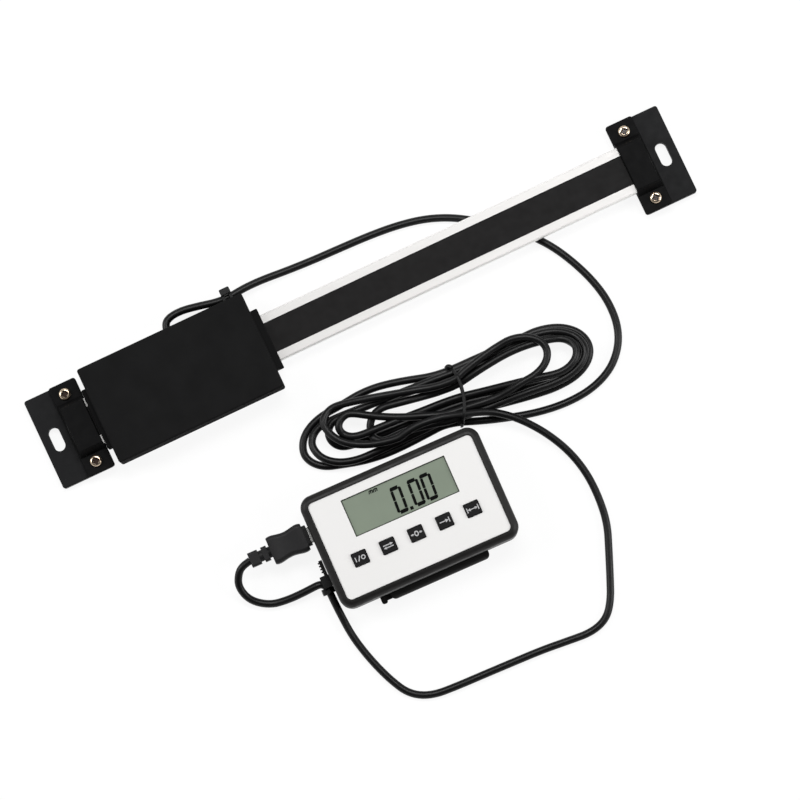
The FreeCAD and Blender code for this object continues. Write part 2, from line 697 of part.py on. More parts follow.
def battery_contacts():
    """A sprung leaf from the board to the middle of the cell, and an angle that presses near its rim."""
    top = CELL_BOTTOM + CELL_THICK
    thick = 0.3
    width = 3.0
    upper = ((-7.0, PCB_BOTTOM), (-4.8, PCB_BOTTOM), (0.2, top + thick), (2.0, top + thick))
    lower = ((2.0, top), (0.0, top), (-5.0, PCB_BOTTOM - thick), (-7.0, PCB_BOTTOM - thick))
    outline = [Vector(x, CELL_Y - width / 2, z) for x, z in upper + lower + upper[:1]]
    leaf = Part.Face(Part.makePolygon(outline)).extrude(Vector(0, width, 0))
    rim = CELL_R - 2
    upright = block(rim, CELL_Y, thick, width, top, PCB_BOTTOM)
    foot_length = 2.4
    foot = block(rim - foot_length / 2, CELL_Y, foot_length, width, top, top + thick)
    return group([leaf, join([upright, foot])])


def battery_cover():
    disc = rod(0, CELL_Y, COVER_BOTTOM, COVER_TOP, COVER_R)
    disc = disc.makeFillet(MOULDED_ROUND, edges_at(disc, COVER_BOTTOM))
    ring_bottom = COVER_TOP - LUG_RING_THICK
    lug_width = 5.4
    ring = rod(0, CELL_Y, ring_bottom, COVER_TOP, LUG_RING_R)
    lugs = ring.common(block(0, CELL_Y, 2 * LUG_RING_R, lug_width, ring_bottom, COVER_TOP))
    slot_length = 11.0
    slot_width = 1.8
    slot_depth = 0.9
    coin_slot = block(0, CELL_Y, slot_length, slot_width, COVER_BOTTOM - 1, COVER_BOTTOM + slot_depth)
    coin_slot = coin_slot.makeFillet(0.45 * slot_width, upright_edges(coin_slot))
    return less(join([disc, lugs]), [coin_slot])


def plug_prism(x0, x1, width, height, corner):
    return prism_x(x0, x1, PLUG_Y, PLUG_Z, width, height, corner)


def usb_socket():
    mouth = -CASE_HALF_X + 0.4
    back = mouth + 9.0
    wall = 0.4
    room = 0.3
    width = SHELL_WIDTH + room
    height = SHELL_HEIGHT + room
    shell = plug_prism(mouth, back, width + 2 * wall, height + 2 * wall, 0.6)
    hollow = plug_prism(mouth - 1, back - 1, width, height, 0.4)
    tongue_width = 4.8
    tongue_start = mouth + 2
    tongue = plug_prism(tongue_start, back - wall, tongue_width, 2 * wall, 0.2)
    return join([less(shell, [hollow]), tongue])


def hinge_rods(overhang, radius):
    rods = []
    for side in (-1, 1):
        low, high = sorted((side * (LEG_INNER - overhang), side * (LEG_OUTER + overhang)))
        rods.append(rod_x(low, high, HINGE_Y, HINGE_Z, radius))
    return rods


def stand():
    """A moulded frame: two legs, a web, a round-fronted foot bar and a finger tab beside a notch."""
    tab_length = 2.3
    bar_start = -LEG_OUTER + 4.2
    tab_top = 3.4
    notch_depth = 0.9
    foot = box(bar_start, LEG_OUTER, FOOT_FRONT, FOOT_BACK, LEG_BOTTOM, FOOT_TOP)
    front_edges = [e for e in foot.Edges if e.BoundBox.YMax < FOOT_FRONT + 1e-6]
    foot = foot.makeFillet(FOOT_ROUND, front_edges)
    neck = box(-LEG_OUTER, bar_start + FOOT_ROUND, FOOT_FRONT + notch_depth, FOOT_BACK, LEG_BOTTOM, tab_top)
    tab = slab(-LEG_OUTER, -LEG_OUTER + tab_length, FOOT_FRONT, FOOT_BACK, LEG_BOTTOM, tab_top, 0.9)
    web = box(-LEG_OUTER, LEG_OUTER, FOOT_BACK - 1, WEB_FRONT, LEG_BOTTOM, LEG_TOP)
    legs = []
    for side in (-1, 1):
        low, high = sorted((side * LEG_INNER, side * LEG_OUTER))
        legs.append(box(low, high, FOOT_BACK - 1, HINGE_Y, LEG_BOTTOM, LEG_TOP))
    eyes = hinge_rods(0, HINGE_EYE_R)
    return less(join([foot, neck, tab, web] + legs + eyes), hinge_rods(1, HINGE_PIN_R + 0.05))


def stand_pins():
    return group(hinge_rods(1.5, HINGE_PIN_R))


def housing_screws():
    screws = []
    head_bottom = 1.0
    head_top = POST_SCREW_SEAT - 0.02
    end = PANEL_BOTTOM - 1.6
    for x, y in four(POST_X, POST_Y):
        head = rod(x, y, head_bottom, head_top, POST_SCREW_HEAD_R)
        shank = rod(x, y, head_bottom, end, POST_SCREW_R)
        recess = cross_recess(x, y, 0, (head_bottom + head_top) / 2)
        screws.append(less(head.fuse(shank), recess))
    return group(screws)


def display_tie():
    """Ring round the cable beside the case, the lock over the cable's turn and the ridged tail."""
    x = -CASE_HALF_X - 2.68
    ring_start = -13.8
    ring_end = -11.4
    ring_z = 2.95
    ring_r = 2.5
    bore_r = 1.9
    ring = rod_y(x, ring_start, ring_end, ring_z, ring_r)
    lock_bottom = 5.5
    lock_end = -6.8
    lock = slab(x - 1.1, -CASE_HALF_X - 0.1, ring_end - 0.2, lock_end, lock_bottom, 8.4, MOULDED_ROUND)
    nose = block(x, (ring_start + ring_end) / 2, TIE_STRAP + 0.5, ring_end - ring_start, ring_z + bore_r, 6.4)
    tail_end = lock_end + 6.0
    tail_right = -CASE_HALF_X - 0.3
    tail_left = tail_right - 1.4
    tail = box(tail_left, tail_right, lock_end - 0.5, tail_end, lock_bottom + 0.2, 7.0)
    pitch = 1.2
    teeth = []
    for i in range(4):
        start = tail_end - (i + 1) * pitch
        teeth.append(box(tail_left - 0.5, tail_right, start, start + pitch / 2, lock_bottom + 0.2, 7.0))
    bore = rod_y(x, ring_start - 1, ring_end + 1, ring_z, bore_r)
    return join([less(join([ring, nose]), [bore]), lock, tail] + teeth)


def plug_overmould():
    stations = ((PLUG_FRONT, 10.5, 7.4), (-42.6, 11.0, 7.8), (-46.6, 9.8, 7.4), (-51.0, 11.0, 7.9),
                (PLUG_REAR, 10.5, 7.7))
    sections = [section_x(x, PLUG_Y, PLUG_Z, width, height, 1.6) for x, width, height in stations]
    body = Part.makeLoft(sections, True, False)
    collar = plug_prism(PLUG_FRONT, PLUG_FRONT + 1.5, 8.2, 5.4, 1.0)
    hollow = plug_prism(PLUG_FRONT - 2, PLUG_FRONT + 2, SHELL_WIDTH, SHELL_HEIGHT, 0.35)
    return less(join([body, collar]), [hollow])


def plug_shell():
    tip = PLUG_FRONT + 9.6
    wall = 0.35
    shell = plug_prism(PLUG_FRONT - 2, tip, SHELL_WIDTH, SHELL_HEIGHT, wall)
    hollow = plug_prism(PLUG_FRONT + 1, tip + 1, SHELL_WIDTH - 2 * wall, SHELL_HEIGHT - 2 * wall, 0.25)
    return less(shell, [hollow])


def plug_strain_relief():
    neck_r = 2.2
    neck = rod_x(RELIEF_END, PLUG_REAR, PLUG_Y, PLUG_Z, neck_r)
    front_collar = plug_prism(PLUG_REAR - 3.2, PLUG_REAR - 1.1, 5.9, 5.4, 0.8)
    rear_collar = plug_prism(RELIEF_END, RELIEF_END + 3.9, 5.8, 5.2, 0.8)
    return join([neck, front_collar, rear_collar])


# Cable, laid on the surface that the object stands on

def bend(before, corner, after):
    """Tangent arc at a point of the route, as large as its two runs allow."""
    inward = before - corner
    onward = after - corner
    shorter = min(inward.Length, onward.Length)
    inward.normalize()
    onward.normalize()
    turn = math.pi - inward.getAngle(onward)
    cut_back = ARC_SHARE * shorter
    radius = cut_back / math.tan(turn / 2)
    start = corner + inward * cut_back
    end = corner + onward * cut_back
    half_way = inward + onward
    half_way.normalize()
    to_centre = math.hypot(cut_back, radius)
    middle = corner + half_way * (to_centre - radius)
    return start, middle, end, radius


def cable_tube(name, route, first, last):
    """Tube from the middle of run first to the middle of run last, or from or to the route's ends."""
    points = [Vector(*p) for p in route]
    runs = len(points) - 1
    position = (points[first] + points[first + 1]) * 0.5 if first else points[0]
    edges = []
    radii = []
    for i in range(first + 1, last + 1):
        start, middle, end, radius = bend(points[i - 1], points[i], points[i + 1])
        edges.append(Part.LineSegment(position, start).toShape())
        edges.append(Part.Arc(start, middle, end).toShape())
        position = end
        radii.append(round(radius, 1))
    finish = (points[last] + points[last + 1]) * 0.5 if last < runs - 1 else points[-1]
    edges.append(Part.LineSegment(position, finish).toShape())
    path = Part.Wire(edges)
    begin = edges[0].valueAt(edges[0].FirstParameter)
    ring = Part.Wire([Part.makeCircle(CABLE_R, begin, edges[0].tangentAt(edges[0].FirstParameter))])
    tube = path.makePipeShell([ring], True, False)
    ideal = math.pi * CABLE_R ** 2 * path.Length
    print(name, "length", round(path.Length, 1), "volume ratio", round(tube.Volume / ideal, 4))
    print("  radii", radii)
    return tube


def hank_outline(z, inset):
    """Outer line of the bundle of turns, pinched in at its tie and drawn in by the inset."""
    half_length = 60.0
    half_width = 13.0
    shrink_x = 1 - inset / half_length
    shrink_y = 1 - inset / half_width
    arcs = [
        ((-52.0, 11.2), (-64.2, 1.2), (-53.0, -11.6)),
        ((-53.0, -11.6), (-37.0, -14.0), (-16.0, -11.4)),
        ((-16.0, -11.4), (2.0, -10.5), (20.0, -10.6)),
        ((20.0, -10.6), (34.0, -10.9), (46.0, -8.6)),
        ((46.0, -8.6), (55.3, 1.0), (45.0, 13.2)),
        ((45.0, 13.2), (30.0, 14.5), (15.0, 13.2)),
        ((15.0, 13.2), (0.0, 12.0), (-17.0, 13.4)),
        ((-17.0, 13.4), (-34.0, 14.8), (-52.0, 11.2)),
    ]
    edges = []
    for arc in arcs:
        points = [Vector(x * shrink_x, y * shrink_y, z) for x, y in arc]
        edges.append(Part.Arc(*points).toShape())
    return Part.Wire(edges)


def in_hank(shape):
    shape.rotate(ORIGIN, Z_AXIS, HANK_TURN)
    shape.translate(Vector(HANK_X, HANK_Y, 0))
    return shape


def cable_hank():
    outlines = [
        hank_outline(HANK_BOTTOM, HANK_ROUND),
        hank_outline(HANK_BOTTOM + HANK_ROUND, 0),
        hank_outline(HANK_TOP - HANK_ROUND, 0),
        hank_outline(HANK_TOP, HANK_ROUND),
    ]
    return in_hank(Part.makeLoft(outlines, True, True))


def hank_tie():
    middle_y = 0.7
    middle_z = (HANK_BOTTOM + HANK_TOP) / 2
    half = 0.8
    width = 23.6
    height = HANK_TOP - HANK_BOTTOM + 0.1
    thick = 0.45
    outer = prism_x(-half, half, middle_y, middle_z, width + 2 * thick, height + 2 * thick, 2.6)
    inner = prism_x(-2 * half, 2 * half, middle_y, middle_z, width, height, 2.1)
    return in_hank(less(outer, [inner]))


def on_display(shape):
    shape.rotate(ORIGIN, Z_AXIS, DISPLAY_TURN)
    shape.translate(Vector(DISPLAY_X, DISPLAY_Y, 0))
    return shape


def scale_pieces():
    film_bottom = BEAM_TOP - FILM_THICK
    return {
        "beam": beam(),
        "encoder_strip": strip(film_bottom - STRIP_THICK, film_bottom),
        "strip_cover": strip(film_bottom, BEAM_TOP),
        "bracket_base_right": bracket_base(),
        "bracket_base_left": mirrored(bracket_base()),
        "clamp_strap_right": clamp_strap(),
        "clamp_strap_left": mirrored(clamp_strap()),
        "bracket_screws_right": bracket_screws(),
        "bracket_screws_left": mirrored(bracket_screws()),
    }


def head_pieces():
    return {
        "head_cover": head_cover(),
        "back_plate": back_plate(),
        "carriage": carriage(),
        "slide_pads": slide_pads(),
        "end_guide_left": end_guide(GUIDE_LEFT_END, HEAD_LEFT, 1),
        "end_guide_right": end_guide(GUIDE_RIGHT_END, HEAD_RIGHT, -1),
        "gib_spring": gib_spring(),
        "head_pcb": head_pcb(),
        "head_pcb_parts": head_pcb_parts(),
        "head_screws": head_screws(),
        "cable_grommet": cable_grommet(),
        "lead_tie": lead_tie(),
    }


def display_pieces():
    pieces = {
        "front_housing": front_housing(),
        "rear_housing": rear_housing(),
        "faceplate": faceplate(),
        "lcd_panel": lcd_panel(),
        "zebra_strips": zebra_strips(),
        "display_pcb": display_pcb(),
        "dome_switches": dome_switches(),
        "coin_cell": coin_cell(),
        "battery_contacts": battery_contacts(),
        "battery_cover": battery_cover(),
        "usb_socket": usb_socket(),
        "stand": stand(),
        "stand_pins": stand_pins(),
        "housing_screws": housing_screws(),
        "display_tie": display_tie(),
        "plug_overmould": plug_overmould(),
        "plug_shell": plug_shell(),
        "plug_strain_relief": plug_strain_relief(),
    }
    for i in range(KEY_COUNT):
        pieces["key_%d" % (i + 1)] = key(i)
    return {name: on_display(shape) for name, shape in pieces.items()}


def cable_pieces():
    last_in = len(ROUTE_IN) - 2
    last_out = len(ROUTE_OUT) - 2
    return {
        "cable_head_lead": cable_tube("cable_head_lead", ROUTE_IN, 0, BEAM_SPAN_FROM),
        "cable_beam_span": cable_tube("cable_beam_span", ROUTE_IN, BEAM_SPAN_FROM, BEAM_SPAN_TO),
        "cable_hank_lead": cable_tube("cable_hank_lead", ROUTE_IN, BEAM_SPAN_TO, last_in),
        "cable_hank": cable_hank(),
        "hank_tie": hank_tie(),
        "cable_loop": cable_tube("cable_loop", ROUTE_OUT, 0, PLUG_LEAD_FROM),
        "cable_plug_lead": cable_tube("cable_plug_lead", ROUTE_OUT, PLUG_LEAD_FROM, last_out),
    }


os.makedirs("parts", exist_ok=True)
for make in (scale_pieces, head_pieces, display_pieces, cable_pieces):
    for node, shape in make().items():
        if not shape.isValid():
            print("not valid:", node)
        shape.exportStep("parts/%s.step" % node)
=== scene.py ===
"""Looks of a digital linear scale with a remote display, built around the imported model.

Lengths on the object are in millimetres and turned into metres with MM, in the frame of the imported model.
Those of the camera, the floor and the lamps, and the cable's whole length, are in metres.
"""
import json
import math

import bmesh
import bpy
import numpy as np
from mathutils import Matrix, Vector

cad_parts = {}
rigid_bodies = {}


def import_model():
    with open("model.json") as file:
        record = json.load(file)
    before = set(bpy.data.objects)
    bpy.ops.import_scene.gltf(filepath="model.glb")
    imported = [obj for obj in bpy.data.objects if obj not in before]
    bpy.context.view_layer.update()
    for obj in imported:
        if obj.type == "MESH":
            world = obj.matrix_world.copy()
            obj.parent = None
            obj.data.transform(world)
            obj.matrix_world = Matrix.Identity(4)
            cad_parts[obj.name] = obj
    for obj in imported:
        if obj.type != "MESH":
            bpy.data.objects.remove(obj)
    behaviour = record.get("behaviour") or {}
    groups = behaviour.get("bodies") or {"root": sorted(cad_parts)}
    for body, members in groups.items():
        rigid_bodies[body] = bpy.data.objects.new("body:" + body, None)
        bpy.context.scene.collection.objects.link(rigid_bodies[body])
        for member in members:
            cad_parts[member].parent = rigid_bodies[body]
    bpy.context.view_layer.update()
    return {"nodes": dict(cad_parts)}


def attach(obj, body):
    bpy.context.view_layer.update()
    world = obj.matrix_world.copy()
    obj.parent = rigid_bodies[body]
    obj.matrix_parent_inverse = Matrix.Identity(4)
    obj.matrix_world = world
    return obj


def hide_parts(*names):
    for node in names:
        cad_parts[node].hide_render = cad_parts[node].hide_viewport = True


for leftover in list(bpy.data.objects):
    bpy.data.objects.remove(leftover)
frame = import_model()
NODES = frame["nodes"]
MM = 0.001
SCENE = bpy.context.scene

# Camera, which looks down on the object, leaning a little towards the picture's lower edge
PICTURE_TURN = math.radians(-25.28)
PICTURE_RIGHT = Vector((math.cos(PICTURE_TURN), math.sin(PICTURE_TURN), 0))
PICTURE_UP = Vector((-math.sin(PICTURE_TURN), math.cos(PICTURE_TURN), 0))
AIM = Vector((-3.45, -42.99, 8.0)) * MM
CAMERA_AWAY = 1.6
LEAN_DOWN = math.tan(math.radians(4.5))
LEAN_RIGHT = math.tan(math.radians(0.8))
LENS = 187.65

# Cable
CABLE_D = 3.0
ROUTE_IN = [
    (-73.3, 18.5, 5.6), (-73.0, 21.9, 5.6), (-70.5, 24.0, 5.5), (-65.0, 24.5, 5.3),
    (-58.0, 23.2, 5.1), (-51.2, 21.6, 4.9), (-45.6, 21.4, 4.6), (-39.0, 22.2, 3.9),
    (-31.0, 22.2, 2.8), (-22.0, 21.5, 1.9), (-11.0, 20.9, 1.6), (1.0, 20.6, 1.6),
    (13.0, 20.2, 1.6), (24.4, 19.2, 1.6), (34.9, 17.1, 1.6), (44.4, 13.3, 1.6),
    (53.0, 7.8, 1.6), (61.0, 1.2, 1.6), (68.8, -5.6, 1.6), (75.2, -13.7, 1.6),
    (80.0, -22.8, 1.6), (83.7, -32.5, 1.6), (85.6, -42.0, 1.6), (85.1, -51.7, 1.6),
    (81.7, -59.8, 1.6), (75.0, -66.5, 1.6), (65.2, -70.3, 1.6), (54.0, -71.0, 1.6),
    (42.9, -69.6, 1.7), (32.4, -66.8, 1.9), (22.6, -63.6, 2.05),
]
ROUTE_OUT = [
    (24.4, -60.7, 6.9), (31.2, -65.4, 6.8), (37.2, -71.6, 5.8), (42.9, -79.5, 3.4),
    (47.4, -88.9, 1.8), (49.7, -99.1, 1.6), (49.8, -109.5, 1.6), (48.4, -119.7, 1.6),
    (44.4, -129.4, 1.6), (40.5, -138.7, 1.6), (36.9, -146.8, 1.6), (32.3, -152.5, 1.6),
    (25.0, -154.7, 1.6), (15.6, -153.8, 1.6), (4.6, -152.7, 1.6), (-7.0, -152.2, 1.6),
    (-19.0, -151.7, 1.6), (-30.5, -151.3, 1.6), (-40.7, -150.5, 1.6), (-48.2, -146.3, 1.6),
    (-52.5, -138.2, 1.6), (-56.1, -127.9, 1.6), (-58.6, -117.0, 1.6), (-59.1, -106.6, 1.9),
    (-59.2, -101.6, 2.5), (-59.2, -98.3, 2.9), (-59.2, -95.6, 3.5), (-61.1, -93.7, 3.7),
    (-63.9, -93.7, 3.7), (-68.6, -93.9, 3.3), (-75.0, -93.8, 2.5), (-81.9, -92.7, 2.2),
    (-88.2, -88.0, 3.2), (-90.1, -81.5, 5.2), (-87.9, -77.0, 7.4), (-85.0, -74.8, 8.45),
    (-81.62, -74.37, 8.55),
]

# Hank, in its own frame: x along it, origin at its tie. Its strands are closest together at the pinch, and
# each half turn starts and ends a little to one side of it.
HANK_ORIGIN = Vector((18.0, -50.5, 0.0))
HANK_TURN = math.radians(-6.0)
HANK_FLOOR = 1.6
TIE_LIFT = 0.6
TIE_LIFT_REACH = 14.0
PINCH_X = -3.5
PINCH_HALF = 4.0
SIDE_SHARES = (0.28, 0.46, 0.64, 0.82)
SIDE_POWER = 1.3
END_DEGREES = (0, 30, 60)
# Each half turn: x and y of its tip; y at the pinch, bow, last y and length of the end curve of its first
# side; bow, last y and length of the end curve of its other side
HALF_TURNS = [
    (-64.2, -1.0, (-8.7, -2.6, -10.4, 12.5), (2.7, 11.3, 20.0)),
    (54.2, 1.8, (10.2, 0.0, 13.8, 17.0), (-0.6, -9.6, 18.0)),
    (-60.0, -0.6, (-7.3, -0.3, -11.0, 15.0), (0.8, 6.9, 9.0)),
    (49.6, 0.6, (7.1, 0.0, 10.6, 15.0), (0.2, -7.8, 13.0)),
    (-52.6, 1.0, (-3.4, -0.55, -4.6, 6.0), (0.0, 6.8, 6.0)),
    (52.0, 1.4, (8.6, 0.0, 12.2, 16.0), (0.3, -8.2, 16.0)),
    (-37.0, -3.2, (-8.6, 1.2, -7.6, 5.0), (-0.1, 5.0, 8.0)),
    (48.6, 2.2, (3.6, 2.4, 8.6, 10.0), (0.0, -5.3, 10.0)),
    (-48.0, 2.5, (-0.9, 0.0, -2.6, 7.0), (-1.0, 7.0, 6.0)),
    (37.8, 5.0, (-5.8, -1.2, -4.0, 14.0), (1.2, 13.4, 12.0)),
    (-53.2, 5.0, (5.5, 0.6, 11.4, 7.4), (1.6, -8.9, 25.0)),
]
HANK_LAST_Y = -6.8
BOW_POWER = 1.5
# How strands lie on each other: distance in diameters, steepest rise, rounds of lifting, samples for each
# point, and how many distances along the cable a stretch is from one that it can rest on
LAY_GAP = 1.03
LAY_SLOPE = 0.3
LAY_PASSES = 8
LAY_STEPS = 8
LAY_APART = 3

# Tubes of the cable and of the tie's ends
TUBE_ROUND_STEPS = 5
TUBE_LONG_STEPS = 6

# Tie round the hank: a flat strip that bows to one side, with a folded end above and two loose ends below
TIE_REACH = 20.0
TIE_HALF_WIDTH = 0.65
TIE_HALF_THICK = 0.22
TIE_RIM_STEPS = 24
TIE_STEPS = 96
TIE_SECTION_STEPS = 10
TIE_BOW_X = 1.8
TIE_BOW_Y = 3.0
TIE_BOW = 0.021
TIE_END_D = 1.7
TIE_ENDS = [
    [(0.8, 10.6, 6.0), (0.3, 11.3, 5.8), (-0.7, 11.7, 5.2), (-1.3, 11.1, 5.2)],
    [(-2.2, -9.6, 7.0), (-3.0, -10.2, 6.6), (-3.6, -10.7, 5.9)],
    [(-2.2, -9.6, 7.0), (-2.2, -10.3, 6.4), (-2.2, -10.9, 5.7)],
]

# Floor and light
FLOOR_Z = -0.05 * MM
FLOOR_HALF = 3.0
WALL_HEIGHT = 1.2
FLOOR_SHADOW = 0.13
FLOOR_GLOW = 0.885
STAGE_GREY = 0.8
WORLD_LIGHT = 0.12
# Each lamp: how far right, up and above the object's middle in the picture, its two sides and its power
LAMPS = {
    "lamp_over": (0.0, 0.55, 1.35, (0.9, 0.4), 12.0),
    "lamp_left": (-1.0, 0.15, 0.75, (0.5, 0.7), 6.5),
    "lamp_right": (1.0, 0.0, 0.65, (0.5, 0.7), 6.5),
}

# Display, in its own frame: x along its long side, y towards the screen's side
DISPLAY_ORIGIN = Vector((-19.5, -85.8, 0.0))
DISPLAY_TURN = math.radians(-1.5)
SCREEN_TOP = 17.85
SCREEN_CENTRE_Y = 8.8
SCREEN_X = 43.0
SCREEN_Y = 15.1
# Width of the painted shadow line round the screen's window
SCREEN_SHADOW_LINE = 0.42
DIGIT_X = (-0.88, 6.24, 11.42)
DIGIT_Y = 7.8
DIGIT_HALF_X = 2.2
DIGIT_HALF_Y = 5.4
DIGIT_STROKE = 1.1
DIGIT_GAP = 0.05
DIGIT_BAR = 1.45
DIGIT_SLANT = math.tan(math.radians(3.2))
POINT_X = 2.33
POINT_Y = 2.93
POINT_SIZE = 1.3
UNIT_X = -10.4
UNIT_Y = 14.15
UNIT_WIDTH = 1.35
UNIT_HEIGHT = 1.15
UNIT_GAP = 0.5
UNIT_STROKE = 0.4
UNIT_SLANT = math.tan(math.radians(12.0))
INK_AND_SHADE_HEIGHT = 0.05
ARC_STEPS = 20
KEY_PITCH = 11.66
KEY_Y = -6.75
KEY_TOP = 19.5
LEGEND_STROKE = 0.38

# Looks: colours, sizes of patches in millimetres, and how far the gloss strays
LCD_INK = (0.002, 0.0022, 0.002)
# Painted shade: the dark line where the faceplate's window edge shades the screen
LCD_PAINTED_SHADOW = (0.055, 0.064, 0.05)
LEGEND_INK = (0.5, 0.5, 0.51)
FILM_WHITE = (0.82, 0.812, 0.802)
LCD_GREEN = (0.205, 0.245, 0.188)
BOARD_GREEN = (0.02, 0.12, 0.05)
TRACK_PITCH = 6.0
JACKET_BLACK = (0.0016, 0.0016, 0.0018)
TIE_BLACK = (0.004, 0.004, 0.0043)
BEAM_FACE = (0.58, 0.57, 0.56)
# Painted light: brighter colour given to the beam's sides than to its face
BEAM_SIDES_PAINTED_LIGHT = (0.9, 0.89, 0.87)
SCREW_BRIGHT = (0.7, 0.57, 0.43)
# Painted shade: dark brown given to the screws where ambient occlusion finds them sheltered, within this
# many millimetres
SCREW_PAINTED_SHADE = (0.035, 0.016, 0.009)
SCREW_SHADE_REACH = 2.5
MOULDED_PATCH = 9
MOULDED_GLOSS_PATCH = 3
MOULDED_GLOSS = 0.06
METAL_PATCH = 6
METAL_GLOSS = 0.04


def make_camera():
    data = bpy.data.cameras.new("camera")
    data.lens = LENS
    back = Vector((0, 0, 1)) - PICTURE_UP * LEAN_DOWN + PICTURE_RIGHT * LEAN_RIGHT
    back.normalize()
    right = (PICTURE_RIGHT - back * PICTURE_RIGHT.dot(back)).normalized()
    camera = bpy.data.objects.new("camera", data)
    SCENE.collection.objects.link(camera)
    turn = Matrix((right, back.cross(right), back)).transposed()
    camera.matrix_world = Matrix.Translation(AIM + back * CAMERA_AWAY) @ turn.to_4x4()
    SCENE.camera = camera


def half_turn(tip_x, tip_y, first, second, end):
    """Points of one half turn of the hank, from the pinch out to its tip and back."""
    side = math.copysign(1, tip_x)
    out = []
    for from_y, bow, side_y, length in (first, (end, *second)):
        root = tip_x - side * length
        points = [(PINCH_X + side * PINCH_HALF, from_y)]
        for share in SIDE_SHARES:
            straight = from_y + (side_y - from_y) * share ** SIDE_POWER
            x = PINCH_X + share * (root - PINCH_X)
            points.append((x, straight + bow * math.sin(math.pi * share ** BOW_POWER)))
        for degrees in END_DEGREES:
            angle = math.radians(degrees)
            x = root + side * length * math.sin(angle)
            points.append((x, tip_y + (side_y - tip_y) * math.cos(angle)))
        out.append(points)
    return out[0] + [(tip_x, tip_y)] + out[1][::-1]


def hank_plan():
    ends = [turn[2][0] for turn in HALF_TURNS[1:]] + [HANK_LAST_Y]
    points = []
    for turn, end in zip(HALF_TURNS, ends):
        points += half_turn(*turn, end)
    return points


def spline_samples(points):
    """Places along the smooth spline of these points, with the number of the point nearest to each."""
    p = np.array(points, float)
    places, owner = [], []
    for i in range(1, len(p) - 1):
        first = (p[i - 1] + p[i]) / 2
        last = (p[i] + p[i + 1]) / 2
        for k in range(LAY_STEPS):
            t = k / LAY_STEPS
            places.append((1 - t) ** 2 * first + 2 * t * (1 - t) * p[i] + t * t * last)
            owner.append(i)
    return np.array(places), np.array(owner)


def run_length(line):
    """How far along the line each of its places is."""
    return np.concatenate([[0], np.cumsum(np.linalg.norm(np.diff(line, axis=0), axis=1))])


def lay_heights(points):
    """Height of each point, so that each stretch rests on the floor or on stretches laid before it."""
    line, owner = spline_samples(points)
    gap = LAY_GAP * CABLE_D
    run = run_length(line)
    along = run[:, None] - run[None]
    apart = np.linalg.norm(line[:, None] - line[None], axis=2)
    lift = np.sqrt(np.maximum(gap ** 2 - apart ** 2, 0))
    under = (along > LAY_APART * gap) & (apart < gap)
    floor = HANK_FLOOR + TIE_LIFT * np.exp(-(line[:, 0] / TIE_LIFT_REACH) ** 2)
    height = floor
    for _ in range(LAY_PASSES):
        resting = np.where(under, height[None] + lift, floor[:, None]).max(axis=1)
        height = (resting[None] - LAY_SLOPE * np.abs(along)).max(axis=1)
    return [height[np.abs(owner - i) <= 1].max() for i in range(len(points))]


def turned(x, y, z, angle):
    """A place turned about the vertical."""
    c, s = math.cos(angle), math.sin(angle)
    return Vector((x * c - y * s, x * s + y * c, z))


def hank_to_part(x, y, z):
    return HANK_ORIGIN + turned(x, y, z, HANK_TURN)


def part_to_hank(point):
    return turned(*(point - HANK_ORIGIN), -HANK_TURN)


def cable_points():
    plan = hank_plan()
    hank = [hank_to_part(x, y, z) for (x, y), z in zip(plan, lay_heights(plan))]
    return [Vector(p) for p in ROUTE_IN] + hank + [Vector(p) for p in ROUTE_OUT]


def hull(points):
    """Corners of the tight loop round these flat points, anticlockwise."""
    loop = []
    for order in (sorted(points), sorted(points, reverse=True)):
        chain = []
        for p in order:
            while len(chain) > 1:
                (ax, ay), (bx, by) = chain[-2:]
                if (bx - ax) * (p[1] - ay) - (by - ay) * (p[0] - ax) > 0:
                    break
                chain.pop()
            chain.append(p)
        loop += chain[:-1]
    return loop


def circle(steps):
    """Cosine and sine of evenly spaced angles."""
    return [(math.cos(math.tau * k / steps), math.sin(math.tau * k / steps)) for k in range(steps)]


def tie_x(y):
    """Place along the hank of the tie's bowed strip, at this place across the hank."""
    return TIE_BOW_X - TIE_BOW * (y - TIE_BOW_Y) ** 2


def tie_loop(points):
    """Evenly spaced places round all strands under the bowed strip: y across the hank and height."""
    line = spline_samples([part_to_hank(p) for p in points])[0]
    past = line[:, 0] - tie_x(line[:, 1])
    rim = CABLE_D / 2 + TIE_HALF_THICK
    round_strands = []
    for a, b, before, after in zip(line, line[1:], past, past[1:]):
        if before * after > 0 or abs(a[1]) > TIE_REACH:
            continue
        _, y, z = a + (b - a) * before / (before - after)
        round_strands += [(y + rim * c, z + rim * s) for c, s in circle(TIE_RIM_STEPS)]
    loop = hull(round_strands)
    loop = np.array(loop + loop[:1])
    run = run_length(loop)
    places = np.linspace(0, run[-1], TIE_STEPS, endpoint=False)
    return np.stack([np.interp(places, run, loop[:, k]) for k in (0, 1)], axis=1)


